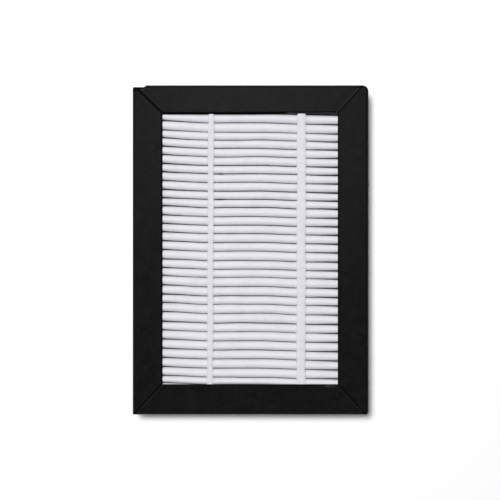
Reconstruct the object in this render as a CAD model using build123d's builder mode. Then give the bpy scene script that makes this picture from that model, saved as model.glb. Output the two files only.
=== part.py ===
from build123d import *
import os
from math import asin, atan2, cos, degrees, hypot, radians, sin, tan

os.makedirs("parts", exist_ok=True)

# A mini-pleat air filter panel. It lies flat with its face side up: X runs across, along the pleats,
# Y runs from pleat to pleat, and Z goes through the panel from the back, at 0, to the face.

# Outer size of the frame
width = 130.0
height = 181.5
depth = 25.0

# The card of the frame and how far each flange reaches over the pleats.
# The top flange is cut a little askew, so it has a size at each end.
card = 0.8
fold_radius = 1.5
left_flange = 16.4
right_flange = 17.0
bottom_flange = 16.8
top_flange_left = 15.4
top_flange_right = 14.9

# Outside radius of the web where the strip bends round each corner
top_right_bend = 4.0
bottom_right_bend = 2.3
bottom_left_bend = 1.2
top_left_bend = 1.3

# The notches that let the flanges meet at each corner: the slot left between two flanges, how far
# the die has bevelled the edge on one side of it, and how far the die starts inside the opening
mitre_gap = 0.4
mitre_bevel = 0.5
mitre_lead_in = 1.0

# The slack bend at the top right stands off its flange and leaves a slit
slit_length = 2.2
slit_width = 0.45

# The two ends of the strip meet at the top left. The glue tab goes on from the left web, inside the
# top web, whose own end stops short of the corner and is cut to a point.
tab_length = 14.0
tab_taper = 3.0
tab_clearance = 0.3
glue_film = 0.2
glue_margin = 0.8
free_end = 7.7
free_end_nick = 5.7
free_end_nick_drop = 1.85
free_end_point_drop = 2.4

# The folded sheet: its thickness, the pitch of the pleats, the slit between neighbouring tips, how far
# its two end legs stay off the back, and how many bends make the round of a tip
sheet = 0.5
pleat_pitch = 4.8
tip_gap = 0.65
end_leg_clearance = 0.5
tip_corners = 8

# The glue lines across the pleats: where they run, how wide they are, how thick they lie over the
# tips and how far they reach down between the pleats
left_bead_from_edge = 43.0
bead_spacing = 50.1
left_bead_width = 3.6
right_bead_width = 5.3
bead_cover = 0.3
bead_depth = 9.0

# The glue that holds the pack in the frame
side_seal = 1.2
top_seal = 0.4
least_bottom_seal = 1.0

# Places worked out from the sizes above
left = -width / 2
right = width / 2
top = height / 2
bottom = -height / 2
web_inside_top = top - card
web_inside_bottom = bottom + card
tab_face = web_inside_top - glue_film
opening_left = left + left_flange
opening_right = right - right_flange
opening_bottom = bottom + bottom_flange
opening_top_left = top - top_flange_left
opening_top_right = top - top_flange_right

# Each mitre runs from a corner of the opening to where the web starts to bend
mitre_top_left = ((opening_left, opening_top_left), (left + top_left_bend, web_inside_top))
mitre_top_right = ((opening_right, opening_top_right), (right - top_right_bend, web_inside_top))
mitre_bottom_right = ((opening_right, opening_bottom), (right - bottom_right_bend, web_inside_bottom))
mitre_bottom_left = ((opening_left, opening_bottom), (left + bottom_left_bend, web_inside_bottom))

# The pack of pleats
tip_radius = (pleat_pitch - tip_gap) / 2
inner_radius = tip_radius - sheet
front_tips = depth - card - bead_cover
rear_tips = card + bead_cover
pack_top = tab_face - card - top_seal
pack_width = width - 2 * card - 2 * side_seal
pack_room = pack_top - (web_inside_bottom + least_bottom_seal)
pleat_count = int((pack_room + tip_gap) // pleat_pitch)
pack_bottom = pack_top - (pleat_count * pleat_pitch - tip_gap)
front_centres = [pack_bottom + tip_radius + pleat_pitch * n for n in range(pleat_count)]
rear_centres = [y + pleat_pitch / 2 for y in front_centres[:-1]]

# The legs lean, so that each tip is a bulb that closes in on its neighbour
leg_height = front_tips - rear_tips - 2 * tip_radius
leg_radius = tip_radius - sheet / 2
lean = asin(2 * leg_radius / hypot(pleat_pitch / 2, leg_height)) - atan2(pleat_pitch / 2, leg_height)


def rounded_block(inset, top_edge):
    """The form inside the card's outer face, moved inward by inset, with its upper side at top_edge."""
    bends = (
        (right - inset, top_edge - inset, top_right_bend),
        (right - inset, bottom + inset, bottom_right_bend),
        (left + inset, bottom + inset, bottom_left_bend),
        (left + inset, top_edge - inset, top_left_bend),
    )
    middle = (top_edge + bottom) / 2
    long_side = top_edge - bottom - 2 * inset
    short_side = width - 2 * inset
    thick = depth - 2 * inset
    fold = fold_radius - inset
    with BuildPart() as block:
        with BuildSketch(Plane.XY.offset(inset)) as plan:
            with Locations((0, middle)):
                Rectangle(short_side, long_side)
            for x, y, bend in bends:
                fillet(plan.vertices().sort_by_distance((x, y, inset))[0], bend - inset)
        extrude(amount=thick)
        with BuildSketch(Plane.XZ.offset(-top_edge)):
            with Locations((0, depth / 2)):
                RectangleRounded(short_side, thick, fold)
        extrude(amount=top_edge - bottom, mode=Mode.INTERSECT)
        with BuildSketch(Plane.YZ.offset(left)):
            with Locations((middle, depth / 2)):
                RectangleRounded(long_side, thick, fold)
        extrude(amount=width, mode=Mode.INTERSECT)
    return block.part


def channel(top_edge):
    """The card folded to a U channel all the way round, before it is notched."""
    outside = rounded_block(0, top_edge)
    inside = rounded_block(card, top_edge)
    with BuildPart() as ring:
        add(outside)
        add(inside, mode=Mode.SUBTRACT)
    return ring.part


def along(mitre, y):
    """The point of a mitre line at height y."""
    (x0, y0), (x1, y1) = mitre
    return (x0 + (x1 - x0) * (y - y0) / (y1 - y0), y)


def mitre_cut(mitre, bevel_side):
    """The cutter for one notch in the face flange, with the bevel on the side that bevel_side gives."""
    start, end = Vector(*mitre[0], depth), Vector(*mitre[1], depth)
    run = (end - start).normalized()
    across = Vector(-run.Y, run.X, 0) * bevel_side
    base = Plane(origin=start - run * mitre_lead_in, x_dir=across, z_dir=run * bevel_side)
    with BuildPart() as cutter:
        with BuildSketch(base):
            with BuildLine():
                Polyline(
                    (-mitre_gap / 2, -card),
                    (mitre_gap / 2, -card),
                    (mitre_gap / 2 + mitre_bevel, 0),
                    (mitre_gap / 2 + mitre_bevel, card),
                    (-mitre_gap / 2, card),
                    close=True,
                )
            make_face()
        extrude(amount=((end - start).length + mitre_lead_in) * bevel_side)
    return cutter.part


mitre_cuts = [
    mitre_cut(mitre_top_right, 1),
    mitre_cut(mitre_bottom_right, -1),
    mitre_cut(mitre_bottom_left, 1),
]

# The main run of the strip: left, bottom, right and top member, up to the free end
full_channel = channel(top)
with BuildPart() as main_run:
    add(full_channel)
    for cut in mitre_cuts:
        add(cut, mode=Mode.SUBTRACT)
        add(mirror(cut, about=Plane.XY.offset(depth / 2), mode=Mode.PRIVATE), mode=Mode.SUBTRACT)
    with BuildSketch(Plane.XY):
        with BuildLine():
            Polyline(
                (opening_left, opening_bottom),
                (opening_right, opening_bottom),
                (opening_right, opening_top_right),
                (opening_left, opening_top_left),
                close=True,
            )
        make_face()
        with Locations((right - top_right_bend + slit_length / 2, web_inside_top - slit_width / 2)):
            Rectangle(slit_length, slit_width)
        with BuildLine():
            Polyline(
                (2 * left, 0),
                (opening_left, 0),
                (opening_left, opening_top_left),
                along(mitre_top_left, top - free_end_point_drop),
                (left + free_end_nick, top - free_end_nick_drop),
                (left + free_end, top),
                (left + free_end, 2 * top),
                (2 * left, 2 * top),
                close=True,
            )
        make_face()
    extrude(amount=depth, mode=Mode.SUBTRACT)

# The upper half of the left member, which steps in behind the top web and goes on as the glue tab
low_channel = channel(tab_face)
with BuildPart() as left_upper:
    add(low_channel)
    with BuildSketch(Plane.XY):
        with BuildLine():
            Polyline(
                (2 * left, 0),
                (opening_left, 0),
                (opening_left, opening_top_left - mitre_gap),
                (along(mitre_top_left, top)[0] - mitre_gap, top),
                (2 * left, top),
                close=True,
            )
        make_face()
    extrude(amount=depth, mode=Mode.INTERSECT)

with BuildPart() as glue_tab:
    add(low_channel)
    with BuildSketch(Plane.XZ.offset(-top)):
        with BuildLine():
            Polyline(
                (left, card + tab_clearance),
                (left + tab_length - tab_taper, card + tab_clearance),
                (left + tab_length, card + tab_clearance + tab_taper),
                (left + tab_length, depth - card - tab_clearance - tab_taper),
                (left + tab_length - tab_taper, depth - card - tab_clearance),
                (left, depth - card - tab_clearance),
                close=True,
            )
        make_face()
    extrude(amount=top_left_bend + card, mode=Mode.INTERSECT)

with BuildPart() as frame_strip:
    add(main_run.part)
    add(left_upper.part)
    add(glue_tab.part)
frame_strip.part.label = "frame_strip"
export_step(frame_strip.part, "parts/frame_strip.step")

# The glue film between the tab and the top web
film_start = left + free_end + glue_margin
film_end = left + tab_length - tab_taper - glue_margin
film_height = depth - 2 * (card + tab_clearance + glue_margin)
with BuildPart() as tab_adhesive:
    with BuildSketch(Plane.XZ.offset(-web_inside_top)):
        with Locations(((film_start + film_end) / 2, depth / 2)):
            Rectangle(film_end - film_start, film_height)
    extrude(amount=glue_film)
tab_adhesive.part.label = "tab_adhesive"
export_step(tab_adhesive.part, "parts/tab_adhesive.step")

# The pleated sheet: one outline over every tip and down every leg. Seen from one face of the sheet a
# front tip is large and a rear tip small, and from the other the reverse.
lean_degrees = degrees(lean)


def tip(centre, level, radius, start, end):
    """The corners of a tip: short flats that touch a circle, from the line of one leg to the other's."""
    step = radians(end - start) / tip_corners
    reach = radius / cos(step / 2)
    angles = [radians(start) + (n + 0.5) * step for n in range(tip_corners)]
    return [(centre + reach * cos(angle), level + reach * sin(angle)) for angle in angles]


def row_of_tips(centres, level, radius, facing=1):
    """The tips of one face. On the front face the outer legs of the two end tips stand upright."""
    tips = []
    for y in centres:
        start = 180 if y == front_centres[0] else 180 + lean_degrees
        end = 0 if y == front_centres[-1] else -lean_degrees
        tips.append(tip(y, level, radius, facing * start, facing * end))
    return tips


def sheet_side(front_radius, rear_radius):
    """One face of the sheet, from the foot of the lower end leg over every tip to the other foot."""
    leg_end = rear_tips + end_leg_clearance
    front = row_of_tips(front_centres, front_tips - tip_radius, front_radius)
    points = [(front_centres[0] - front_radius, leg_end), *front[0]]
    for y, next_front in zip(rear_centres, front[1:]):
        points += tip(y, rear_tips + tip_radius, rear_radius, 180 - lean_degrees, 360 + lean_degrees)
        points += next_front
    return [*points, (front_centres[-1] + front_radius, leg_end)]


with BuildPart() as pleated_media:
    with BuildSketch(Plane.YZ.offset(-pack_width / 2)):
        with BuildLine():
            outer_side = sheet_side(tip_radius, inner_radius)
            inner_side = sheet_side(inner_radius, tip_radius)
            Polyline(*outer_side, *reversed(inner_side), close=True)
        make_face()
    extrude(amount=pack_width)
pleated_media.part.label = "pleated_media"
export_step(pleated_media.part, "parts/pleated_media.step")


def bead_outline(centres, facing):
    """The outline of a glue line: flat on top, following each tip below, with a fin down each valley."""
    middle = depth / 2
    crown = front_tips - middle
    tip_level = crown - tip_radius
    fin_end = crown - bead_depth
    leg_drop = tip_level - tip_radius * sin(lean) - fin_end
    fin_reach = tip_radius * cos(lean) - leg_drop * tan(lean)

    def point(y, z):
        return (y, middle + facing * z)

    tips = row_of_tips(centres, middle + facing * tip_level, tip_radius, facing)
    points = [point(tips[0][0][0], crown + bead_cover)]
    for y, corners in zip(centres, tips):
        if y != centres[0]:
            points.append(point(y - fin_reach, fin_end))
        points += corners
        if y != centres[-1]:
            points.append(point(y + fin_reach, fin_end))
    return [*points, point(tips[-1][-1][0], crown + bead_cover)]


def glue_bead(name, centre_x, bead_width, outline):
    """A glue line of the given width, extruded across the pleats from its outline."""
    with BuildPart() as bead:
        with BuildSketch(Plane.YZ.offset(centre_x - bead_width / 2)):
            with BuildLine():
                Polyline(*outline, close=True)
            make_face()
        extrude(amount=bead_width)
    bead.part.label = name
    export_step(bead.part, f"parts/{name}.step")


left_bead_x = left + left_bead_from_edge
right_bead_x = left_bead_x + bead_spacing
front_outline = bead_outline(front_centres, 1)
rear_outline = bead_outline(rear_centres, -1)
glue_bead("front_bead_left", left_bead_x, left_bead_width, front_outline)
glue_bead("front_bead_right", right_bead_x, right_bead_width, front_outline)
glue_bead("rear_bead_left", left_bead_x, left_bead_width, rear_outline)
glue_bead("rear_bead_right", right_bead_x, right_bead_width, rear_outline)


def edge_seal(name, *corners):
    """Hot melt poured in the channel to the given plan: it takes the form of the card and its folds."""
    with BuildPart() as seal:
        with BuildSketch(Plane.XY.offset(card)):
            with BuildLine():
                Polyline(*corners, close=True)
            make_face()
        extrude(amount=depth - 2 * card)
        add(frame_strip.part, mode=Mode.SUBTRACT)
    seal.part.label = name
    export_step(seal.part, f"parts/{name}.step")


def plan_rectangle(x0, x1, y0, y1):
    return ((x0, y0), (x1, y0), (x1, y1), (x0, y1))


pack_side = pack_width / 2
tab_end = left + tab_length
tab_inside = tab_face - card
edge_seal("edge_seal_left", *plan_rectangle(left + card, -pack_side, pack_bottom, pack_top))
edge_seal("edge_seal_right", *plan_rectangle(pack_side, right - card, pack_bottom, pack_top))
edge_seal("edge_seal_bottom", *plan_rectangle(-pack_side, pack_side, web_inside_bottom, pack_bottom))
edge_seal(
    "edge_seal_top",
    (-pack_side, pack_top),
    (pack_side, pack_top),
    (pack_side, web_inside_top),
    (tab_end, web_inside_top),
    (tab_end, tab_inside),
    (-pack_side, tab_inside),
)

print("pleats", pleat_count, "lean", round(lean_degrees, 2), "pack", pack_bottom, "to", pack_top)
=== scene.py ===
# %% [markdown]
# # A mini-pleat air filter panel
#
# The real panel is a white paper, folded into 37 tight pleats and held in a frame of black card. Two
# lines of hot melt cross the pleats and keep them apart. The card, the seals and the glue tab come from
# the CAD model as they are. The paper and the glue lines are soft, so they are made again here as
# meshes, with the drift and the waves that folding and fitting leave in them.

# %% Load the CAD model
from math import acos, atan2, cos, hypot, pi, radians, sin

import bmesh
import bpy
import numpy as np
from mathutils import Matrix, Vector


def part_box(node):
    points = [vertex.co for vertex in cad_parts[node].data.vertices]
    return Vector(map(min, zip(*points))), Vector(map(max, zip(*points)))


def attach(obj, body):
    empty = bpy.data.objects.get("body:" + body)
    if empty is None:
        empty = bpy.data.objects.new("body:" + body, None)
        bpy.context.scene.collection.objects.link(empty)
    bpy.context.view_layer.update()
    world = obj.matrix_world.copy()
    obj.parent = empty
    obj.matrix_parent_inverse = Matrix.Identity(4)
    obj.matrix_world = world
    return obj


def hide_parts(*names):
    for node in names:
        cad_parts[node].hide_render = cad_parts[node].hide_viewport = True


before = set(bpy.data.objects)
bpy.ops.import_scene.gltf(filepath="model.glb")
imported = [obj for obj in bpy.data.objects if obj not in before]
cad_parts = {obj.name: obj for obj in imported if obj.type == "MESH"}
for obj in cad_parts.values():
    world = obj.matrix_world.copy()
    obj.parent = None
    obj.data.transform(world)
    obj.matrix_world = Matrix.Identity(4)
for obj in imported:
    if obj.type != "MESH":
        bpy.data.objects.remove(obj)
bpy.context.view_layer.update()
print("CAD nodes:", ", ".join(sorted(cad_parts)))

# %% [markdown]
# ## Sizes
#
# Blender works in metres, and a maker of filters thinks in millimetres. The numbers below are in
# millimetres, as on a drawing, and each mesh is turned to metres once, when it is made.

# %% Where the CAD model has the paper, the glue and the card
MM = 0.001


def box_mm(node):
    """The lowest and highest corner of a CAD node, in millimetres."""
    low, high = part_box(node)
    return np.array(low) / MM, np.array(high) / MM


card_low, card_high = box_mm("frame_strip")
paper_low, paper_high = box_mm("pleated_media")
print("card", (card_high - card_low).round(2), "paper", (paper_high - paper_low).round(2))

# %% The opening in the face and where the mitres run
opening_left = -48.6
opening_right = 48.0
opening_bottom = -73.95
opening_top_left = 75.35
opening_top_right = 75.85
top_slope = (opening_top_right - opening_top_left) / (opening_right - opening_left)
mitres = {
    "top left": ((opening_left, opening_top_left), (-63.7, 89.95)),
    "top right": ((opening_right, opening_top_right), (61.0, 89.95)),
    "bottom right": ((opening_right, opening_bottom), (62.7, -89.95)),
    "bottom left": ((opening_left, opening_bottom), (-63.8, -89.95)),
}


def top_edge_at(x):
    """The height of the cut edge of the top flange at x. It rises a little to the right."""
    return opening_top_left + top_slope * (x - opening_left)


print("opening", opening_right - opening_left, "by", round(top_edge_at(0) - opening_bottom, 2), "mm")

# %% [markdown]
# ## Tools for the bench
#
# Colours are picked as the sRGB hex values of a paint chart, and the shader wants linear light, so one
# function does that sum. A second one adds a node, and a third turns points and faces into a piece.

# %% Colour, node and mesh helpers


def linear(hex_colour):
    """An sRGB hex colour, such as #ecebf0, as the linear colour that the shader wants."""
    parts = [int(hex_colour[n:n + 2], 16) / 255 for n in (1, 3, 5)]
    return [p / 12.92 if p <= 0.04045 else ((p + 0.055) / 1.055) ** 2.4 for p in parts] + [1.0]


def add_node(tree, kind, settings=None, links=None):
    """One node with its settings, by name or socket, and the outputs that feed its sockets."""
    node = tree.nodes.new(kind)
    for name, value in (settings or {}).items():
        if isinstance(name, str) and hasattr(node, name):
            setattr(node, name, value)
        else:
            node.inputs[name].default_value = value
    for name, source in (links or {}).items():
        tree.links.new(source, node.inputs[name])
    return node


def per_mm(size):
    """The texture scale that makes a pattern's features about that many millimetres wide."""
    return 1 / (size * MM)


def mesh_piece(name, points, faces, material, sharp_angle=50):
    """A piece from points in millimetres and their faces, smooth but for edges sharper than the angle."""
    mesh = bpy.data.meshes.new(name)
    mesh.from_pydata((np.asarray(points, float) * MM).tolist(), [], faces)
    shell = bmesh.new()
    shell.from_mesh(mesh)
    bmesh.ops.recalc_face_normals(shell, faces=shell.faces)
    shell.to_mesh(mesh)
    shell.free()
    mesh.shade_smooth()
    mesh.set_sharp_from_angle(angle=radians(sharp_angle))
    mesh.materials.append(material)
    piece = bpy.data.objects.new(name, mesh)
    bpy.context.scene.collection.objects.link(piece)
    print(name, "has", sum(len(f) - 2 for f in faces), "triangles")
    return piece


def new_material(name):
    """An empty material, ready for its nodes, and the node tree in it."""
    material = bpy.data.materials.new(name)
    material.use_nodes = True
    material.node_tree.nodes.clear()
    return material, material.node_tree


print("a mid grey, #808080, is", round(linear("#808080")[0], 3), "in linear light")

# %% [markdown]
# ## Black card
#
# The frame is solid board with a black liner, scored, folded and die cut. The liner is rolled paper,
# matte and nearly black, with fibres a few hundredths of a millimetre thick that show as a fine, even
# mottle. Under the liner the board is grey, and it shows where the die has cut it at a slant, along one
# side of each mitre. Noise at two sizes gives the mottle, and the places that differ are worked out
# from coordinates, so that they stay where they are on the card from any side.

# %% The liner: mottle and fibres
black_card, tree = new_material("black_card")
place = add_node(tree, "ShaderNodeTexCoord").outputs["Object"]
fibre_size = 1.1
cloud_size = 6.0
cloud_share = 0.35
fibres = add_node(tree, "ShaderNodeTexNoise", {"Scale": per_mm(fibre_size), "Detail": 5.0, "Roughness": 0.7},
                  {"Vector": place})
clouds = add_node(tree, "ShaderNodeTexNoise", {"Scale": per_mm(cloud_size), "Detail": 3.0, "Roughness": 0.55},
                  {"Vector": place})
mottle = add_node(tree, "ShaderNodeMath", {"operation": "MULTIPLY_ADD", 1: cloud_share},
                  {0: clouds.outputs["Fac"], 2: fibres.outputs["Fac"]})
liner = add_node(tree, "ShaderNodeValToRGB", {}, {"Fac": mottle.outputs[0]})
liner.color_ramp.elements[0].position = 0.5
liner.color_ramp.elements[0].color = linear("#0a0a0b")
liner.color_ramp.elements[1].position = 0.85
liner.color_ramp.elements[1].color = linear("#1b1b1c")
print("card fibres are drawn", fibre_size, "mm wide, coarser than they are, so that they show")

# %% [markdown]
# Several things depend on where on the card a point lies, so its coordinates are taken apart once. Near the
# folds the liner is drawn a little paler: partly wear from rubbing, and partly a painted highlight where the
# bend rounds over. The zone is worked out from the distance to the outer sides and to the level halfway
# between the two faces.

# %% How far a point is from the outside and from the middle level
placed = add_node(tree, "ShaderNodeSeparateXYZ", {}, {"Vector": place})
across = add_node(tree, "ShaderNodeMath", {"operation": "ABSOLUTE"}, {0: placed.outputs["X"]})
along = add_node(tree, "ShaderNodeMath", {"operation": "ABSOLUTE"}, {0: placed.outputs["Y"]})
to_side = add_node(tree, "ShaderNodeMath", {"operation": "SUBTRACT", 0: card_high[0] * MM},
                   {1: across.outputs[0]})
to_end = add_node(tree, "ShaderNodeMath", {"operation": "SUBTRACT", 0: card_high[1] * MM},
                  {1: along.outputs[0]})
to_outside = add_node(tree, "ShaderNodeMath", {"operation": "MINIMUM"},
                      {0: to_side.outputs[0], 1: to_end.outputs[0]})
middle_level = (card_high[2] + card_low[2]) / 2
level = add_node(tree, "ShaderNodeMath", {"operation": "SUBTRACT", 1: middle_level * MM},
                 {0: placed.outputs["Z"]})
off_middle = add_node(tree, "ShaderNodeMath", {"operation": "ABSOLUTE"}, {0: level.outputs[0]})
print("the middle level is at", round(middle_level, 2), "mm")

# %% Paler folds: wear and painted highlight
fold_from_side = (1.5, 0.4)
fold_from_middle = (10.8, 11.8)
near_side = add_node(tree, "ShaderNodeMapRange",
                     {"From Min": fold_from_side[0] * MM, "From Max": fold_from_side[1] * MM},
                     {"Value": to_outside.outputs[0]})
near_face = add_node(tree, "ShaderNodeMapRange",
                     {"From Min": fold_from_middle[0] * MM, "From Max": fold_from_middle[1] * MM},
                     {"Value": off_middle.outputs[0]})
fold = add_node(tree, "ShaderNodeMath", {"operation": "MULTIPLY"},
                {0: near_side.outputs["Result"], 1: near_face.outputs["Result"]})
# Painted highlight and wear: the liner is mixed towards a paler black along the folds.
fold_wear_and_highlight = add_node(tree, "ShaderNodeMix", {"data_type": "RGBA", 7: linear("#232324")},
                     {0: fold.outputs[0], 6: liner.outputs["Color"]})
print("folds are paler within", fold_from_side[0], "mm of the outside")

# %% [markdown]
# A dark line of painted shade runs along the edge of the opening and beside each mitre, where the cut edges
# and the gaps under them lie in shade. The distance to the opening is the largest of the distances to its
# four sides, and that to a mitre is measured square to its line. Along the top a black lip, also painted
# shade and made further down, hangs over the cut, and the line moves with it.

# %% How far a point is from the opening
lip_drop = 0.3
sides = (((-1.0, 0.0, 0.0), -opening_left), ((1.0, 0.0, 0.0), opening_right),
         ((0.0, -1.0, 0.0), -opening_bottom), ((-top_slope, 1.0, 0.0), top_edge_at(0) - lip_drop))
from_opening = None
for normal, offset in sides:
    reach = add_node(tree, "ShaderNodeVectorMath", {"operation": "DOT_PRODUCT", 1: normal}, {0: place})
    reach = add_node(tree, "ShaderNodeMath", {"operation": "SUBTRACT", 1: offset * MM},
                     {0: reach.outputs["Value"]}).outputs[0]
    if from_opening is None:
        from_opening = reach
    else:
        from_opening = add_node(tree, "ShaderNodeMath", {"operation": "MAXIMUM"},
                                {0: from_opening, 1: reach}).outputs[0]
print("the top edge rises", round(1000 * top_slope, 1), "mm in a metre")

# %% How far a point is from the nearest mitre
from_mitre = None
for (x0, y0), (x1, y1) in mitres.values():
    length = hypot(x1 - x0, y1 - y0)
    normal = ((y0 - y1) / length, (x1 - x0) / length, 0.0)
    offset = normal[0] * x0 + normal[1] * y0
    reach = add_node(tree, "ShaderNodeVectorMath", {"operation": "DOT_PRODUCT", 1: normal}, {0: place})
    reach = add_node(tree, "ShaderNodeMath", {"operation": "SUBTRACT", 1: offset * MM},
                     {0: reach.outputs["Value"]})
    reach = add_node(tree, "ShaderNodeMath", {"operation": "ABSOLUTE"}, {0: reach.outputs[0]}).outputs[0]
    if from_mitre is None:
        from_mitre = reach
    else:
        from_mitre = add_node(tree, "ShaderNodeMath", {"operation": "MINIMUM"},
                              {0: from_mitre, 1: reach}).outputs[0]
print("mitres:", ", ".join(mitres))

# %% The painted shade line round the opening, ragged, and nearly absent along the bottom
raggedness = 0.3
edge_line_zone = (0.95, 0.5)
share_at_bottom = 0.15
fade_at_bottom = 0.3
# Painted shade: a dark line along the edge of the opening, where the cut and the gap under the flange lie in
# shade.
ragged = add_node(tree, "ShaderNodeMath",
                  {"operation": "MULTIPLY_ADD", 1: 2 * raggedness * MM, 2: -raggedness * MM},
                  {0: fibres.outputs["Fac"]})
uneven_edge = add_node(tree, "ShaderNodeMath", {"operation": "ADD"}, {0: from_opening, 1: ragged.outputs[0]})
edge_line = add_node(tree, "ShaderNodeMapRange",
                     {"From Min": edge_line_zone[0] * MM, "From Max": edge_line_zone[1] * MM},
                     {"Value": uneven_edge.outputs[0]})
above_bottom = add_node(tree, "ShaderNodeMapRange",
                        {"From Min": (opening_bottom - fade_at_bottom) * MM, "From Max": opening_bottom * MM,
                         "To Min": share_at_bottom},
                        {"Value": placed.outputs["Y"]})
edge_line = add_node(tree, "ShaderNodeMath", {"operation": "MULTIPLY"},
                     {0: edge_line.outputs["Result"], 1: above_bottom.outputs["Result"]})
print("pressed line up to", edge_line_zone[0], "mm wide, ragged by", raggedness, "mm")

# %% The painted shade lines beside the mitres, which stay in the corners
mitre_line_zone = (0.7, 0.4)
corner_margin = 0.2
# Painted shade: dark lines beside each mitre, where the slot lies in shade.
mitre_line = add_node(tree, "ShaderNodeMapRange",
                      {"From Min": mitre_line_zone[0] * MM, "From Max": mitre_line_zone[1] * MM},
                      {"Value": from_mitre})
for distance, edge in ((across, opening_right), (along, -opening_bottom)):
    past_edge = add_node(tree, "ShaderNodeMath",
                         {"operation": "GREATER_THAN", 1: (edge - corner_margin) * MM},
                         {0: distance.outputs[0]})
    mitre_line = add_node(tree, "ShaderNodeMath", {"operation": "MULTIPLY"},
                          {0: mitre_line.outputs[0], 1: past_edge.outputs[0]})
painted_shade_and_wear = add_node(tree, "ShaderNodeMath", {"operation": "MAXIMUM"},
                   {0: edge_line.outputs[0], 1: mitre_line.outputs[0]}).outputs[0]
print("pressed lines up to", mitre_line_zone[0], "mm on each side of the mitres")

# %% [markdown]
# Two more dark places: along the right side, where the fold turns over at its score, a line of painted shade
# is drawn, and the upper left corner, where the strip's two ends meet, is crushed and rubbed dark.

# %% Painted shade along the right fold, and the crushed corner
score_x = 63.85
score_shade_zone = (0.5, 0.15)
score_shade_strength = 0.6
crushed_corner = (-63.8, 89.6)
crush_zone = (2.6, 1.4)
from_score = add_node(tree, "ShaderNodeMath", {"operation": "SUBTRACT", 1: score_x * MM},
                      {0: placed.outputs["X"]})
from_score = add_node(tree, "ShaderNodeMath", {"operation": "ABSOLUTE"}, {0: from_score.outputs[0]})
# Painted shade: a dark line where the right fold turns over at its score.
score_shade = add_node(tree, "ShaderNodeMapRange",
                 {"From Min": score_shade_zone[0] * MM, "From Max": score_shade_zone[1] * MM, "To Max": score_shade_strength},
                 {"Value": from_score.outputs[0]})
crush_centre = (crushed_corner[0] * MM, crushed_corner[1] * MM, card_high[2] * MM)
from_crush = add_node(tree, "ShaderNodeVectorMath", {"operation": "DISTANCE", 1: crush_centre}, {0: place})
crush = add_node(tree, "ShaderNodeMapRange", {"From Min": crush_zone[0] * MM, "From Max": crush_zone[1] * MM},
                 {"Value": from_crush.outputs["Value"]})
for dark_place in (score_shade, crush):
    painted_shade_and_wear = add_node(tree, "ShaderNodeMath", {"operation": "MAXIMUM"},
                       {0: painted_shade_and_wear, 1: dark_place.outputs["Result"]}).outputs[0]
# The card colour is darkened here: painted shade in the lines by the opening, the mitres and the right fold,
# and wear in the crushed corner.
shade_and_wear_colour = add_node(tree, "ShaderNodeMix", {"data_type": "RGBA", 7: linear("#060606")},
                    {0: painted_shade_and_wear, 6: fold_wear_and_highlight.outputs[2]})
print("score at", score_x, "mm, crushed corner at", crushed_corner)

# %% [markdown]
# The slant of a die cut is the only face of the flange that points up and across a corner at once, so the
# direction of the surface tells where the grey board shows. The round bends do so too, and they are left out
# by their distance from the outside of the frame. Below the middle of the panel the slants show a quarter as
# much grey.

# %% The grey board in the slanted cuts
least_crossing = 0.15
least_tilt = 0.3
bend_zone = 1.6
share_below_middle = 0.25
facing = add_node(tree, "ShaderNodeNewGeometry")
turned = add_node(tree, "ShaderNodeSeparateXYZ", {}, {"Vector": facing.outputs["True Normal"]})
crossing = add_node(tree, "ShaderNodeMath", {"operation": "MULTIPLY"},
                    {0: turned.outputs["X"], 1: turned.outputs["Y"]})
crossing = add_node(tree, "ShaderNodeMath", {"operation": "ABSOLUTE"}, {0: crossing.outputs[0]})
diagonal = add_node(tree, "ShaderNodeMath", {"operation": "GREATER_THAN", 1: least_crossing},
                    {0: crossing.outputs[0]})
tilt = add_node(tree, "ShaderNodeMath", {"operation": "ABSOLUTE"}, {0: turned.outputs["Z"]})
slanted = add_node(tree, "ShaderNodeMath", {"operation": "GREATER_THAN", 1: least_tilt}, {0: tilt.outputs[0]})
inside = add_node(tree, "ShaderNodeMath", {"operation": "GREATER_THAN", 1: bend_zone * MM},
                  {0: to_outside.outputs[0]})
share_by_height = add_node(tree, "ShaderNodeMapRange",
                  {"From Min": -1 * MM, "From Max": 1 * MM, "To Min": share_below_middle},
                  {"Value": placed.outputs["Y"]})
bare_board = add_node(tree, "ShaderNodeMath", {"operation": "MULTIPLY"},
                      {0: diagonal.outputs[0], 1: slanted.outputs[0]})
for share in (inside.outputs[0], share_by_height.outputs["Result"]):
    bare_board = add_node(tree, "ShaderNodeMath", {"operation": "MULTIPLY"},
                          {0: bare_board.outputs[0], 1: share})
board_grey = linear("#545459")
print("the grey board is", [round(c, 3) for c in board_grey[:3]])

# %% [markdown]
# Two places are worn. At the lower right corner of the opening the liner is scuffed and pale fibres
# stand out along the flange's edge. At the upper left corner the point of the top flange has frayed.
# Each is a soft spot round a point, given by its centre, its half length and width and its strength.

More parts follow.
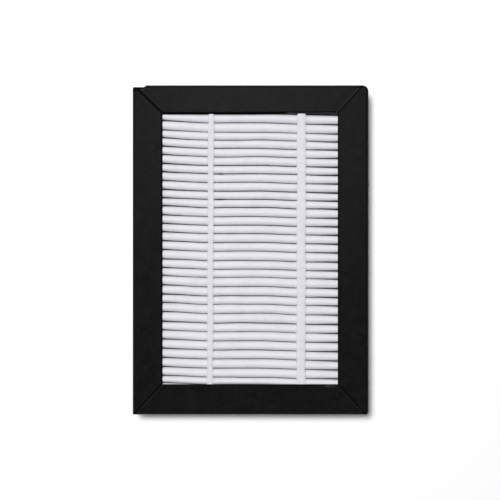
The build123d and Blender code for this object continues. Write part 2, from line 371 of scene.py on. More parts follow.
# %% Worn places, broken up into tufts of fibre
scuffed_edge = (43.5, -74.6, 5.5, 1.0, 0.7)
frayed_point = (-59.6, 88.2, 1.1, 0.8, 0.4)
worn_depth = 2
tuft_size = 0.8
tuft_zone = (0.47, 0.56)
spot_core = 0.35
worn = None
for centre_x, centre_y, half_length, half_width, strength in (scuffed_edge, frayed_point):
    centre = (centre_x * MM, centre_y * MM, card_high[2] * MM)
    away = add_node(tree, "ShaderNodeVectorMath", {"operation": "SUBTRACT", 1: centre}, {0: place})
    reach = (half_length * MM, half_width * MM, worn_depth * MM)
    sized = add_node(tree, "ShaderNodeVectorMath", {"operation": "DIVIDE", 1: reach}, {0: away.outputs[0]})
    distance = add_node(tree, "ShaderNodeVectorMath", {"operation": "LENGTH"}, {0: sized.outputs[0]})
    spot = add_node(tree, "ShaderNodeMapRange", {"From Min": 1.0, "From Max": spot_core, "To Max": strength},
                    {"Value": distance.outputs["Value"]}).outputs["Result"]
    if worn is None:
        worn = spot
    else:
        worn = add_node(tree, "ShaderNodeMath", {"operation": "MAXIMUM"}, {0: worn, 1: spot}).outputs[0]
tufts = add_node(tree, "ShaderNodeTexNoise", {"Scale": per_mm(tuft_size), "Detail": 3.0, "Roughness": 0.6},
                 {"Vector": place})
tufts_show = add_node(tree, "ShaderNodeMapRange", {"From Min": tuft_zone[0], "From Max": tuft_zone[1]},
                      {"Value": tufts.outputs["Fac"]})
wear = add_node(tree, "ShaderNodeMath", {"operation": "MULTIPLY"}, {0: worn, 1: tufts_show.outputs["Result"]})
pale = add_node(tree, "ShaderNodeMath", {"operation": "MAXIMUM"},
                {0: wear.outputs[0], 1: bare_board.outputs[0]})
card_colour = add_node(tree, "ShaderNodeMix", {"data_type": "RGBA", 7: board_grey},
                       {0: pale.outputs[0], 6: shade_and_wear_colour.outputs[2]})
print("worn places at", scuffed_edge[:2], "and", frayed_point[:2])

# %% [markdown]
# The liner has the low sheen of calendered paper: an IOR near 1.5, a weak specular and a roughness near 0.35.
# Along the painted shade lines and in the crushed corner it is rougher. The fibres lift the surface by a few
# hundredths of a millimetre, which a bump node gives.

# %% Gloss and fibre relief of the card
extra_roughness_in_dark_marks = 0.3
card_gloss = add_node(tree, "ShaderNodeMapRange", {"To Min": 0.28, "To Max": 0.42},
                      {"Value": fibres.outputs["Fac"]})
card_gloss = add_node(tree, "ShaderNodeMath", {"operation": "MULTIPLY_ADD", 1: extra_roughness_in_dark_marks},
                      {0: painted_shade_and_wear, 2: card_gloss.outputs["Result"]})
card_relief = add_node(tree, "ShaderNodeBump", {"Strength": 0.25, "Distance": 0.05 * MM},
                       {"Height": fibres.outputs["Fac"]})
card_surface = add_node(tree, "ShaderNodeBsdfPrincipled", {"IOR": 1.5, "Specular IOR Level": 0.2},
                        {"Base Color": card_colour.outputs[2], "Roughness": card_gloss.outputs[0],
                         "Normal": card_relief.outputs["Normal"]})
add_node(tree, "ShaderNodeOutputMaterial", {}, {"Surface": card_surface.outputs["BSDF"]})
print("black card has", len(tree.nodes), "nodes")

# %% [markdown]
# ## Filter paper
#
# The pleats are a felt of glass or plastic fibres, laid wet like paper. The fibres are a few thousandths
# of a millimetre thick, so the eye sees an even, chalky white with a faint cloudiness where the felt is
# thicker, and no gloss. The white leans a little to blue, and some light passes through the felt.

# %% Felted white
filter_paper, tree = new_material("filter_paper")
place = add_node(tree, "ShaderNodeTexCoord").outputs["Object"]
felt_size = 0.6
thick_place_size = 9.0
light_reach = 0.5
felt = add_node(tree, "ShaderNodeTexNoise", {"Scale": per_mm(felt_size), "Detail": 5.0, "Roughness": 0.7},
                {"Vector": place})
thick_and_thin = add_node(tree, "ShaderNodeTexNoise",
                          {"Scale": per_mm(thick_place_size), "Detail": 2.0, "Roughness": 0.5},
                          {"Vector": place})
cloudiness = add_node(tree, "ShaderNodeMath", {"operation": "ADD"},
                      {0: felt.outputs["Fac"], 1: thick_and_thin.outputs["Fac"]})
white = add_node(tree, "ShaderNodeValToRGB", {}, {"Fac": cloudiness.outputs[0]})
white.color_ramp.elements[0].position = 0.7
white.color_ramp.elements[0].color = linear("#e4e3e8")
white.color_ramp.elements[1].position = 1.0
white.color_ramp.elements[1].color = linear("#ecebf0")
felt_relief = add_node(tree, "ShaderNodeBump", {"Strength": 0.2, "Distance": 0.05 * MM},
                       {"Height": felt.outputs["Fac"]})
paper_surface = add_node(tree, "ShaderNodeBsdfPrincipled",
                         {"IOR": 1.45, "Roughness": 0.95, "Specular IOR Level": 0.2,
                          "Subsurface Weight": 0.4, "Subsurface Radius": (1.0, 1.0, 1.0),
                          "Subsurface Scale": light_reach * MM},
                         {"Base Color": white.outputs["Color"], "Normal": felt_relief.outputs["Normal"]})
add_node(tree, "ShaderNodeOutputMaterial", {}, {"Surface": paper_surface.outputs["BSDF"]})
print("filter paper has", len(tree.nodes), "nodes")

# %% [markdown]
# ## Hot melt
#
# The glue lines are a white polyolefin hot melt, laid as a bead and pressed flat while warm. It sets to
# a satin skin, a little greyer than the paper, with slow ripples where the nozzle's flow pulsed.

# %% Satin glue
hot_melt, tree = new_material("hot_melt")
place = add_node(tree, "ShaderNodeTexCoord").outputs["Object"]
pulse_size = 2.5
pulses = add_node(tree, "ShaderNodeTexNoise", {"Scale": per_mm(pulse_size), "Detail": 2.0, "Roughness": 0.5},
                  {"Vector": place})
glue_white = add_node(tree, "ShaderNodeValToRGB", {}, {"Fac": pulses.outputs["Fac"]})
glue_white.color_ramp.elements[0].position = 0.3
glue_white.color_ramp.elements[0].color = linear("#dfdee3")
glue_white.color_ramp.elements[1].position = 0.7
glue_white.color_ramp.elements[1].color = linear("#e7e6eb")
ripples = add_node(tree, "ShaderNodeBump", {"Strength": 0.25, "Distance": 0.2 * MM},
                   {"Height": pulses.outputs["Fac"]})
glue_gloss = add_node(tree, "ShaderNodeMapRange", {"To Min": 0.5, "To Max": 0.65},
                      {"Value": pulses.outputs["Fac"]})
glue_surface = add_node(tree, "ShaderNodeBsdfPrincipled", {"IOR": 1.48, "Specular IOR Level": 0.3},
                        {"Base Color": glue_white.outputs["Color"], "Roughness": glue_gloss.outputs["Result"],
                         "Normal": ripples.outputs["Normal"]})
add_node(tree, "ShaderNodeOutputMaterial", {}, {"Surface": glue_surface.outputs["BSDF"]})
print("hot melt has", len(tree.nodes), "nodes")

# %% Give the CAD pieces their materials
finishes = {"frame_strip": black_card, "pleated_media": filter_paper}
for name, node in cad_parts.items():
    for material_slot in node.material_slots:
        material_slot.material = finishes.get(name, hot_melt)
print("dressed", len(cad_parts), "CAD nodes")

# %% [markdown]
# ## Where the slits between the pleats lie
#
# A folding machine sets the pleats, and a hand then pushes the pack into its frame. So the slits are not
# quite evenly spaced: they are closer together at the top of the panel than at the bottom. They are not
# quite straight either. From the left flange they come down to the first glue line, run on in a slight
# arch, and come down a little more towards the second line and past it. Each slit also has its own wave.

# %% Spacing from the top of the panel to the bottom
pleat_count = 37
first_visible_slit = 3
last_visible_slit = 34
first_slit_y = 74.5
spacing_at_top = 4.59
spacing_at_bottom = 5.09
usual_gap = 0.5

spacings = np.linspace(spacing_at_top, spacing_at_bottom, last_visible_slit - first_visible_slit)
seen = first_slit_y - np.concatenate([[0], np.cumsum(spacings)])
above = np.linspace(paper_high[1] + usual_gap / 2, seen[0], first_visible_slit + 1)[:-1]
below = np.linspace(seen[-1], paper_low[1] - usual_gap / 2, pleat_count - last_visible_slit + 1)[1:]
slit_y = np.concatenate([above, seen, below])
print("slits from", slit_y[0].round(2), "to", slit_y[-1].round(2), "mm:", len(slit_y))

# %% [markdown]
# The first slit that shows runs along the cut edge of the top flange and drops below it at the right.
# The last one lies just past the edge of the bottom flange. Both are placed one by one for that.

# %% The drift of all the slits together
left_line = -22.0
right_line = 28.1
level_at = 3.4
arch = 0.12
arch_reach = 22
rise_at_left_flange = 1.15
rise_curve = 1.3
extra_rise_at_top = 0.4
extra_rise_ends_at = 12
extra_rise_fades_over = 8
fall_at_right_line = 0.6
fall_at_right_flange = 0.35
first_slit_x = (opening_left, 14.0, opening_right)
first_slit_heights = (75.35, 75.45, 74.6)
second_slit_lift = 0.3
last_slit_y = -74.55
slit_numbers = np.arange(len(slit_y))
print("glue lines at", left_line, "and", right_line, "mm, slits level at", level_at, "mm")

# %% A wave of each slit, and the height of all of them at any x
wave_length = (26.0, 47.0, 90.0)
wave_spread = 0.055
shift_spread = 0.13
held_slits = 3

dice = np.random.default_rng(37)
wave_phase = dice.uniform(0, 2 * pi, (len(slit_y), 3))
wave_size = dice.normal(0, wave_spread, (len(slit_y), 3))
slit_shift = dice.normal(0, shift_spread, len(slit_y))
slit_y[last_visible_slit] = last_slit_y
slit_shift[last_visible_slit] = 0
slit_shift[first_visible_slit + 1] += second_slit_lift
held = np.clip(np.minimum(slit_numbers, slit_numbers[::-1]) / held_slits, 0, 1)


def ease(t):
    """A step from 0 to 1 with soft ends."""
    t = np.clip(t, 0, 1)
    return t * t * (3 - 2 * t)


def slits_at(x):
    """The height of every slit at x. Those at the two ends of the pack lie straight, held by the card."""
    near_top = np.clip((extra_rise_ends_at - slit_numbers) / extra_rise_fades_over, 0, 1)
    rise = rise_at_left_flange + extra_rise_at_top * near_top
    drift = rise * np.clip((left_line - x) / (left_line - opening_left), 0, 1) ** rise_curve
    drift += arch * max(0, 1 - ((x - level_at) / arch_reach) ** 2)
    drift -= fall_at_right_line * ease((x - level_at) / (right_line - level_at))
    drift -= fall_at_right_flange * np.clip((x - right_line) / (opening_right - right_line), 0, 1)
    waves = sum(wave_size[:, n] * np.sin(2 * pi * x / wave_length[n] + wave_phase[:, n]) for n in range(3))
    heights = slit_y + held * (drift + waves + slit_shift)
    heights[first_visible_slit] = np.interp(x, first_slit_x, first_slit_heights)
    return heights


print("slit 20 at the left, middle and right:", [slits_at(x)[20].round(2) for x in (-48, 3, 48)])

# %% [markdown]
# The slits are narrow where the glue holds the tips and open out towards the flanges, where nothing
# does. Beside the first glue line two slits have opened where the paper has come off the glue.

# %% How wide each slit is
narrow_gap = 0.33
least_gap = 0.25
widest_gap = 1.2
first_slit_gap = 0.9
free_from = 3
open_at_left = 0.34
left_curve = 2.2
open_at_right = 0.45
right_curve = 1.1
open_in_middle = 0.02
gap_spread = 0.05
gap_size = dice.normal(0, gap_spread, len(slit_y))
open_cracks = ((-16.4, 42.4, 1.3), (-16.7, 28.3, 2.0))
crack_width = 0.35


def gaps_at(x):
    """The width of every slit at x."""
    left_start, right_start = left_line - free_from, right_line + free_from
    gap = narrow_gap + open_in_middle * max(0, 1 - ((x - level_at) / arch_reach) ** 2)
    gap += open_at_left * np.clip((left_start - x) / (left_start - opening_left), 0, 1) ** left_curve
    gap += open_at_right * np.clip((x - right_start) / (opening_right - right_start), 0, 1) ** right_curve
    gaps = np.clip(gap + gap_size, least_gap, widest_gap)
    for crack_x, crack_y, reach in open_cracks:
        nearest = np.argmin(abs(slit_y + slit_shift - crack_y))
        gaps[nearest] += crack_width * np.exp(-((x - crack_x) / reach) ** 2)
    gaps[first_visible_slit] = first_slit_gap
    gaps[[0, -1]] = usual_gap
    return gaps


print("mean slit width at the left, middle and right:", [gaps_at(x).mean().round(2) for x in (-48, 3, 48)])

# %% [markdown]
# ## Tips
#
# Between two slits the paper goes over a broad round tip. Each tip is as wide as its slits leave it, so
# its radius follows from them. A tip on the face is higher than a half circle, because the paper is stiff
# and comes out of its score at an angle. The tips on the back lie behind the slits. In the sums below y
# runs down the panel, the way the paper is followed.

# %% The circles that the paper goes round, at any x
sheet = 0.5
rear_gap = 0.65
tip_rise = 1.45
crown_spread = 0.05
crown_dip = abs(dice.normal(0, crown_spread, pleat_count))


def tips_at(x):
    """Centre, level, outer radius and rise of each front tip and each rear tip at x, from the top down."""
    slits, gaps = -slits_at(x), gaps_at(x)
    start, stop = slits[:-1] + gaps[:-1] / 2, slits[1:] - gaps[1:] / 2
    front_radius = (stop - start) / 2
    front_rise = tip_rise * front_radius
    front_level = paper_high[2] - crown_dip - front_rise
    front = np.column_stack([(start + stop) / 2, front_level, front_radius, front_rise])
    rear_radius = ((slits[2:] - slits[:-2]) / 2 - rear_gap) / 2
    rear = np.column_stack([slits[1:-1], paper_low[2] + rear_radius, rear_radius, rear_radius])
    return front, rear


front = tips_at(0.0)[0]
print("front tip radii from", front[:, 2].min().round(2), "to", front[:, 2].max().round(2), "mm")

# %% [markdown]
# ## The pleated paper
#
# The paper is one sheet, so it is one mesh: an outline that goes over every tip and down every leg, both
# faces of the sheet, drawn at over fifty places across the panel and joined up. A leg is the straight
# line that touches two circles, one on each side of it. The same angles serve both faces of the sheet.

# %% One outline of the paper at x
front_steps = 12
rear_steps = 8
leg_foot = paper_low[2] + sheet


def leg_angle(first, second):
    """The angle, seen from the first circle, at which the line across to the second one leaves it."""
    dy, dz = second[0] - first[0], second[1] - first[1]
    spread = acos((first[2] + second[2] - sheet) / hypot(dy, dz))
    return atan2(dz, dy) - (spread if dz > 0 else -spread)


def outline_at(x):
    """The points of both faces of the sheet at x: the face side and the back side, from top to bottom."""
    front, rear = tips_at(x)
    face, back = [], []
    start = pi
    for n, tip in enumerate(front):
        stop = leg_angle(tip, rear[n]) if n < len(rear) else 0.0
        turn = np.linspace(start, stop, front_steps + 1)
        for side, radius, rise in ((face, tip[2], tip[3]), (back, tip[2] - sheet, tip[3] - sheet)):
            up = np.where(np.sin(turn) > 0, rise, radius) * np.sin(turn)
            side.append(np.column_stack([tip[0] + radius * np.cos(turn), tip[1] + up]))
        if n < len(rear):
            centre, level, outer = rear[n, :3]
            leave = leg_angle(rear[n], front[n + 1])
            turn = np.linspace(stop + pi, leave + 2 * pi, rear_steps + 1)
            for side, radius in ((face, outer - sheet), (back, outer)):
                side.append(np.column_stack([centre + radius * np.cos(turn), level + radius * np.sin(turn)]))
            start = leave + pi
    ends = []
    for side in (face, back):
        line = np.concatenate(side)
        ends.append(np.concatenate([[[line[0, 0], leg_foot]], line, [[line[-1, 0], leg_foot]]]))
    return ends


face, back = outline_at(0.0)
print("one outline has", len(face) + len(back), "points")

# %% Where the outlines are drawn: closer together beside the glue lines
glue_zone = 7
fine_step = 1.3
coarse_step = 2.9
least_step = 0.2
stations = [paper_low[0]]
while stations[-1] < paper_high[0] - least_step:
    near_glue = min(abs(stations[-1] - left_line), abs(stations[-1] - right_line)) < glue_zone
    stations.append(min(stations[-1] + (fine_step if near_glue else coarse_step), paper_high[0]))
print("paper drawn at", len(stations), "places")

# %% The outlines joined across the panel
points, faces = [], []
for x in stations:
    face, back = outline_at(x)
    loop = np.concatenate([face, back[::-1]])
    points.append(np.column_stack([np.full(len(loop), x), -loop[:, 0], loop[:, 1]]))
count, per_side = len(points[0]), len(face)
for s in range(len(stations) - 1):
    for n in range(count):
        m = (n + 1) % count
        faces.append((s * count + n, (s + 1) * count + n, (s + 1) * count + m, s * count + m))
last = (len(stations) - 1) * count
for n in range(per_side - 1):
    faces.append((n, n + 1, count - 2 - n, count - 1 - n))
    faces.append((last + n + 1, last + n, last + count - 1 - n, last + count - 2 - n))
paper = mesh_piece("pleated_paper", np.concatenate(points), faces, filter_paper)
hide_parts("pleated_media")
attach(paper, "root")

# %% [markdown]
# ## The glue lines
#
# A glue line is laid while the pleats are held open. It lies on the tips in a flat, slightly domed band
# and runs down into each slit until the paper has cooled it. It drifts a little to the side from top to
# bottom, and its width breathes. Where the top flange presses on it, it is squeezed to a neck. The mesh
# is a flattened tube: rings of points that follow the tips, whose under side drops down the slits in
# fins that are deepest in the middle of the band.

# %% The upper skin of the glue over one tip
cover = 0.29
skin = 0.02
sag_in_middle = 0.16
sag_at_edge = 1.3
sag_curve = 1.5


def skin_at(tip, angle, crown, out, bulge, sag):
    """Where the upper skin is at an angle round a tip. out is 1 on the face and -1 on the back."""
    centre, level, radius, rise = tip
    y, up = centre + radius * cos(angle), rise * sin(angle)
    share = (y - centre) / (radius + usual_gap / 2)
    bridge = out * (crown - level) + cover * bulge - sag * (0.5 - 0.5 * cos(pi * share))
    return y, level + out * max(up + skin * bulge, bridge if bulge > 0 else up)


def sag_for(bulge):
    """How far the band sags between two tips: most at its edges, where the bulge is 0."""
    return sag_in_middle + (sag_at_edge - sag_in_middle) * (1 - bulge) ** sag_curve


print("the band sags", [round(sag_for(b), 2) for b in (0, 0.5, 1)], "mm from its edge to its middle")

# %% A section along the band: its upper and its under side over a row of tips
tip_angles = np.radians(np.linspace(152, 28, 7))
bite = 0.05
fin_inset = 0.35
fin_depth = 8.8


def band_section(tips, crown, out, bulge):
    """The points of the upper and the under side, as y and z, over all the tips and their slits."""
    sag = sag_for(bulge)
    top, under = [], []
    for n, tip in enumerate(tips):
        centre, level, radius, rise = tip
        for angle in tip_angles:
            y, z = skin_at(tip, angle, crown, out, bulge, sag)
            top.append((y, z))
            under.append((y, level + out * (rise * sin(angle) - bite * bulge)))
        if n == len(tips) - 1:
            continue
        following = tips[n + 1]
        from_y, from_z = top[-1]
        to_y, to_z = skin_at(following, tip_angles[0], crown, out, bulge, sag)
        lowest = crown + out * (cover * bulge - sag)
        deep = crown - out * fin_depth
        near_wall, far_wall = centre + radius, following[0] - following[2]
        fin = (near_wall - fin_inset, (near_wall + far_wall) / 2, far_wall + fin_inset)
        for part, fin_y in zip((0.25, 0.5, 0.75), fin):
            y, z = from_y + (to_y - from_y) * part, from_z + (to_z - from_z) * part
            if out * (lowest - z) < 0:
                z += (lowest - z) * (1 - (2 * part - 1) ** 2)
            top.append((y, z))
            under.append((y + (fin_y - y) * bulge, z + (deep - z) * bulge))
    return top, under


top, under = band_section(tips_at(left_line)[0], paper_high[2], 1, 1.0)
print("a section has", len(top) + len(under), "points")

# %% A glue line: sections side by side, closed to a tube
ring_half = 10
drift_size, drift_length = 0.1, 9
slow_breath, slow_length = 0.05, 5.3
quick_breath, quick_length = 0.04, 2.1
neck_y = 76.1
neck_depth = 0.6
neck_length = 0.9


def glue_line(name, node, x_top, x_bottom, wide, row):
    """The glue line that replaces a CAD node. row picks the front tips, 0, or the rear tips, 1."""
    out = 1 if row == 0 else -1
    crown = paper_high[2] if row == 0 else paper_low[2]
    low, high = box_mm(node)
    breath = np.random.default_rng(len(name) * 7 + row).uniform(0, 2 * pi, 3)

    def x_of(y, u):
        middle = x_bottom + (x_top - x_bottom) * (y - low[1]) / (high[1] - low[1])
        middle += drift_size * np.sin(y / drift_length + breath[0])
        half = wide / 2 * (1 + slow_breath * np.sin(y / slow_length + breath[1])
                           + quick_breath * np.sin(y / quick_length + breath[2]))
        return middle + u * half * (1 - neck_depth * np.exp(-((y - neck_y) / neck_length) ** 2))

    tops, unders = [], []
    for u in np.sin(np.linspace(-pi / 2, pi / 2, ring_half + 1)):
        tips = tips_at((x_top + x_bottom) / 2 + u * wide / 2)[row]
        top, under = band_section(tips, crown, out, np.sqrt(max(0, 1 - u * u)))
        tops.append([(x_of(-y, u), -y, z) for y, z in top])
        unders.append([(x_of(-y, u), -y, z) for y, z in under])

    rings, ring_size = len(tops[0]), 2 * ring_half
    points, faces = [], []
    for r in range(rings):
        points += [tops[c][r] for c in range(ring_half + 1)]
        points += [unders[c][r] for c in range(ring_half - 1, 0, -1)]
    for r in range(rings - 1):
        for c in range(ring_size):
            d = (c + 1) % ring_size
            here, there = r * ring_size, (r + 1) * ring_size
            faces.append((here + c, there + c, there + d, here + d)[::out])
    first, final = range(ring_size), range((rings - 1) * ring_size, rings * ring_size)
    faces += [tuple(first)[::out], tuple(final)[::-out]]
    points = np.array(points)
    points[:, 2] = np.clip(points[:, 2], low[2], high[2])
    piece = mesh_piece(name, points, faces, hot_melt, sharp_angle=70)
    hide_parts(node)
    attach(piece, "root")


# %% Two glue lines on the face, two on the back
left_width = 3.6
right_width = 5.3
glue_line("glue_line_face_left", "front_bead_left", left_line + 0.3, left_line - 0.4, left_width, 0)
glue_line("glue_line_face_right", "front_bead_right", right_line + 0.1, right_line - 0.3, right_width, 0)
glue_line("glue_line_back_left", "rear_bead_left", left_line - 0.2, left_line + 0.3, left_width, 1)
glue_line("glue_line_back_right", "rear_bead_right", right_line + 0.2, right_line - 0.1, right_width, 1)

# %% [markdown]
# ## Painted shade in the mitres
#
# The die parts the flanges at each corner. Each slot is closed with a dull, near-black floor of painted
# shade, so that it reads as a dark line and no white paper shows through. At the upper left corner it goes on
# round the point of the top flange, and at the upper right one it lies in the slit of the slack bend. The
# floor is a strip with a crease along its middle, once on the face and once on the back.

# %% Near-black, dull painted shade
black_painted_shade, tree = new_material("black_painted_shade")
place = add_node(tree, "ShaderNodeTexCoord").outputs["Object"]
fluff_size = 0.3
fluff = add_node(tree, "ShaderNodeTexNoise", {"Scale": per_mm(fluff_size), "Detail": 3.0}, {"Vector": place})
shade_black_ramp = add_node(tree, "ShaderNodeValToRGB", {}, {"Fac": fluff.outputs["Fac"]})
shade_black_ramp.color_ramp.elements[0].color = linear("#070707")
shade_black_ramp.color_ramp.elements[1].color = linear("#0e0e0f")
fluff_relief = add_node(tree, "ShaderNodeBump", {"Strength": 0.4, "Distance": 0.05 * MM},
                        {"Height": fluff.outputs["Fac"]})
black_shade_surface = add_node(tree, "ShaderNodeBsdfPrincipled",
                        {"IOR": 1.5, "Roughness": 0.95, "Specular IOR Level": 0.03},
                        {"Base Color": shade_black_ramp.outputs["Color"], "Normal": fluff_relief.outputs["Normal"]})
add_node(tree, "ShaderNodeOutputMaterial", {}, {"Surface": black_shade_surface.outputs["BSDF"]})
print("dull liner has", len(tree.nodes), "nodes")

# %% Where the strips lie: the two edges of each, from the opening outwards
slot_half = 0.19
slit_at_top_right = (((61.0, 89.52), (63.2, 89.52)), ((61.0, 89.93), (63.2, 89.93)))
round_the_point = (
    ((opening_left, opening_top_left - 0.38), (-62.05, 87.97), (-62.95, 88.8), (-63.5, 89.35)),
    ((opening_left, opening_top_left - 0.02), (-62.03, 88.33), (-59.4, 88.87), (-58.9, 89.35)))
strips = []
for (x0, y0), (x1, y1) in [mitres[corner] for corner in ("top right", "bottom right", "bottom left")]:
    length = hypot(x1 - x0, y1 - y0)
    side_x, side_y = -(y1 - y0) / length * slot_half, (x1 - x0) / length * slot_half
    strips.append((((x0 + side_x, y0 + side_y), (x1 + side_x, y1 + side_y)),
                   ((x0 - side_x, y0 - side_y), (x1 - side_x, y1 - side_y))))
strips += [slit_at_top_right, round_the_point]
print(len(strips), "strips on each face")

# %% The strips as rings of five points
card_thickness = 0.8
strip_edge_height = 0.15
crease_low, crease_spread = 0.02, 0.03
steps = 24
points, faces = [], []


def even_points(line, count):
    """Points evenly spaced along a line of corners."""
    line = np.array(line)
    run = np.concatenate([[0], np.cumsum(np.hypot(*np.diff(line, axis=0).T))])
    return [np.array([np.interp(t, run, line[:, 0]), np.interp(t, run, line[:, 1])])
            for t in np.linspace(0, run[-1], count)]


def skin_rings(start, ring_count, ring_size):
    """The faces round a row of rings, from the point numbered start, with both ends closed."""
    skin_faces = []
    for n in range(start, start + (ring_count - 1) * ring_size, ring_size):
        for c in range(ring_size):
            d = (c + 1) % ring_size
            skin_faces.append((n + c, n + ring_size + c, n + ring_size + d, n + d))
    final = start + (ring_count - 1) * ring_size
    return skin_faces + [tuple(range(start, start + ring_size)), tuple(range(final, final + ring_size))]


# Painted shade: each strip is a near-black floor put in a slot that would lie in shade.
for floor_level, out in ((card_high[2] - card_thickness, 1), (card_low[2] + card_thickness, -1)):
    for edge_a, edge_b in strips:
        faces += skin_rings(len(points), steps, 5)
        for a, b in zip(even_points(edge_a, steps), even_points(edge_b, steps)):
            crease = crease_low + dice.uniform(0, crease_spread)
            ring = ((a, strip_edge_height), ((a + b) / 2, crease), (b, strip_edge_height), (b, 0.0), (a, 0.0))
            points += [(*place_xy, floor_level + out * up) for place_xy, up in ring]
print("strips have", len(points), "points")

# %% [markdown]
# Along the top flange a thin black lip hangs over the cut edge and over the first slit. It is painted shade
# for the gap under the flange's edge, made of the same near-black surface, so it goes into the same mesh.

# %% The lip of painted shade under the top flange's edge
lip_line = ((opening_left, 74.85), (3.0, 74.85), (20.0, 75.3))
lip_top, lip_bottom = 24.6, 24.3
lip_overlap = 0.05
lip_steps = 3 * steps
lip_spread = 0.03
faces += skin_rings(len(points), lip_steps, 4)
for x, y in even_points(lip_line, lip_steps):
    cut_y = top_edge_at(x) + lip_overlap
    lip_y = y + dice.normal(0, lip_spread)
    points += [(x, cut_y, lip_top), (x, lip_y + lip_overlap, lip_top - lip_overlap),
               (x, lip_y, lip_bottom), (x, cut_y, lip_bottom)]
# This mesh, strips and lip together, is painted shade.
painted_shade_strips = mesh_piece("painted_shade_strips", points, faces, black_painted_shade)
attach(painted_shade_strips, "root")

# %% [markdown]
# Towards the upper right corner a lap of bare board shows below the edge of the top flange and hangs up to
# 1.5 mm lower. It is grey, unlined and soft at its edge.

# %% Bare grey board
grey_board, tree = new_material("grey_board")
place = add_node(tree, "ShaderNodeTexCoord").outputs["Object"]
pulp_size = 0.8
pulp = add_node(tree, "ShaderNodeTexNoise", {"Scale": per_mm(pulp_size), "Detail": 4.0, "Roughness": 0.6},
                {"Vector": place})
pulp_grey = add_node(tree, "ShaderNodeValToRGB", {}, {"Fac": pulp.outputs["Fac"]})
pulp_grey.color_ramp.elements[0].position = 0.35
pulp_grey.color_ramp.elements[0].color = linear("#202022")
pulp_grey.color_ramp.elements[1].position = 0.65
pulp_grey.color_ramp.elements[1].color = linear("#363638")
pulp_relief = add_node(tree, "ShaderNodeBump", {"Strength": 0.3, "Distance": 0.05 * MM},
                       {"Height": pulp.outputs["Fac"]})
ply_surface = add_node(tree, "ShaderNodeBsdfPrincipled",
                       {"IOR": 1.5, "Roughness": 0.9, "Specular IOR Level": 0.15},
                       {"Base Color": pulp_grey.outputs["Color"], "Normal": pulp_relief.outputs["Normal"]})
add_node(tree, "ShaderNodeOutputMaterial", {}, {"Surface": ply_surface.outputs["BSDF"]})
print("grey board has", len(tree.nodes), "nodes")

# %% The grey lap
lap_x = (19.0, opening_right)
lap_low = (75.5, 74.35)
lap_tuck = 0.25
lap_overlap = 0.35
lap_top = 24.17
lap_thickness = 0.2
lap_bevel = 0.15
lap_under_bevel = 0.1
lap_spread = 0.03
lap_steps = 60
points = []
for x in np.linspace(lap_x[0], lap_x[1] + lap_tuck, lap_steps):
    low_edge = np.interp(x, lap_x, lap_low) + dice.normal(0, lap_spread)
    high_edge = top_edge_at(x) + lap_overlap
    points += [(x, high_edge, lap_top), (x, low_edge + lap_bevel, lap_top),
               (x, low_edge, lap_top - lap_thickness / 2),
               (x, low_edge + lap_under_bevel, lap_top - lap_thickness),
               (x, high_edge, lap_top - lap_thickness)]
grey_lap = mesh_piece("grey_board_lap", points, skin_rings(0, lap_steps, 5), grey_board)
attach(grey_lap, "root")

# %% [markdown]
# ## Floor and light
#
# The panel lies on a white table under a soft box that hangs nearly overhead, a little towards its top
# left corner, so each round tip is bright along its crown and fades to the slits on both sides. The
# camera sees the table a good deal brighter than it is, as in a picture with a cleared background, which
# leaves only the dark edge of the shadow, close to the panel.

# %% The table
table_surface, tree = new_material("white_table")
light_path = add_node(tree, "ShaderNodeLightPath")
seen_ray = add_node(tree, "ShaderNodeMath", {"operation": "MAXIMUM"},
                    {0: light_path.outputs["Is Camera Ray"], 1: light_path.outputs["Is Glossy Ray"]})
plain_table = add_node(tree, "ShaderNodeBsdfDiffuse", {"Color": linear("#e4e4e4")})
cleared_level = 1.14
cleared_table = add_node(tree, "ShaderNodeBsdfDiffuse", {"Color": (*[cleared_level] * 3, 1.0)})
table_mix = add_node(tree, "ShaderNodeMixShader", {},
                     {0: seen_ray.outputs[0], 1: plain_table.outputs[0], 2: cleared_table.outputs[0]})
add_node(tree, "ShaderNodeOutputMaterial", {}, {"Surface": table_mix.outputs[0]})

table_half = 1500.0
table_level = -0.1
corners = [(x * table_half, y * table_half, table_level) for x, y in ((-1, -1), (1, -1), (1, 1), (-1, 1))]
table = mesh_piece("table", corners, [(0, 1, 2, 3)], table_surface)

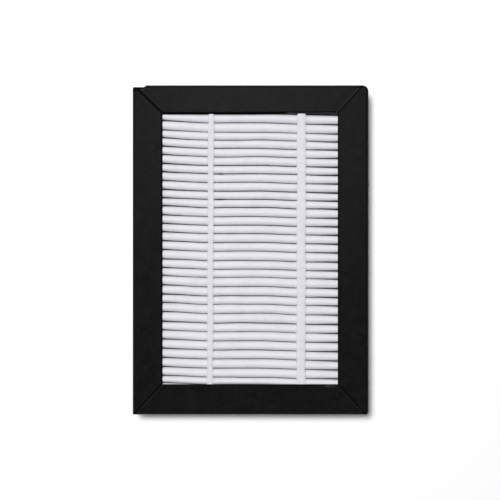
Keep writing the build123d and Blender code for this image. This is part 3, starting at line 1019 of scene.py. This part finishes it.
# %% The world: soft light all round, seen as white
world = bpy.data.worlds.new("room")
bpy.context.scene.world = world
world.use_nodes = True
tree = world.node_tree
tree.nodes.clear()
room_level = 0.05
light_path = add_node(tree, "ShaderNodeLightPath")
room_light = add_node(tree, "ShaderNodeBackground", {"Color": (1.0, 1.0, 1.0, 1.0), "Strength": room_level})
white_wall = add_node(tree, "ShaderNodeBackground", {"Color": (1.0, 1.0, 1.0, 1.0), "Strength": 1.0})
room_mix = add_node(tree, "ShaderNodeMixShader", {},
                    {0: light_path.outputs["Is Camera Ray"], 1: room_light.outputs[0],
                     2: white_wall.outputs[0]})
add_node(tree, "ShaderNodeOutputWorld", {}, {"Surface": room_mix.outputs[0]})
print("room light", room_level)

# %% [markdown]
# A studio would fill the shadows and set the sheen of the card with two different boxes. So the main
# lamp lights the panel but gives no gloss, and a weak second lamp, further towards the top, gives the
# gloss alone. The card is paler near the top of the panel than at the bottom because of that one.

# %% The two lamps
lamp_distance = 1.3
lamp_size = 0.27


def add_lamp(name, direction, level):
    """A square soft box that points at the panel. A level of 1 lights white to full white."""
    lamp_data = bpy.data.lights.new(name, "AREA")
    lamp_data.shape = "SQUARE"
    lamp_data.size = lamp_size
    lamp_data.energy = level * pi ** 2 * lamp_distance ** 2
    lamp = bpy.data.objects.new(name, lamp_data)
    bpy.context.scene.collection.objects.link(lamp)
    lamp.location = np.array(direction) / np.linalg.norm(direction) * lamp_distance
    lamp.rotation_euler = (-lamp.location).to_track_quat("-Z", "Y").to_euler()
    print(name, round(lamp_data.energy, 2), "W at", lamp_distance, "m")
    return lamp


main_lamp = add_lamp("main_lamp", (-0.12, 0.15, 1.0), 0.94)
main_lamp.visible_glossy = False
sheen_lamp = add_lamp("sheen_lamp", (-0.01, 0.21, 1.0), 0.055)
sheen_lamp.visible_diffuse = False

# %% [markdown]
# ## Camera
#
# The picture looks straight down. At 0.65 m the lens that takes in 275 mm at the panel's face is a long
# one, which keeps the panel's edges parallel.

# %% Straight down over the panel
view_width = 275.0
view_centre = (-0.34, -0.03)
camera_height = 650.0
sensor_width = 36.0
camera_data = bpy.data.cameras.new("camera")
camera_data.sensor_width = sensor_width
camera_data.lens = sensor_width * (camera_height - card_high[2]) / view_width
camera = bpy.data.objects.new("camera", camera_data)
bpy.context.scene.collection.objects.link(camera)
camera.location = (view_centre[0] * MM, view_centre[1] * MM, camera_height * MM)
bpy.context.scene.camera = camera
bpy.context.scene.view_settings.view_transform = "Standard"
print("lens", round(camera_data.lens, 1), "mm")
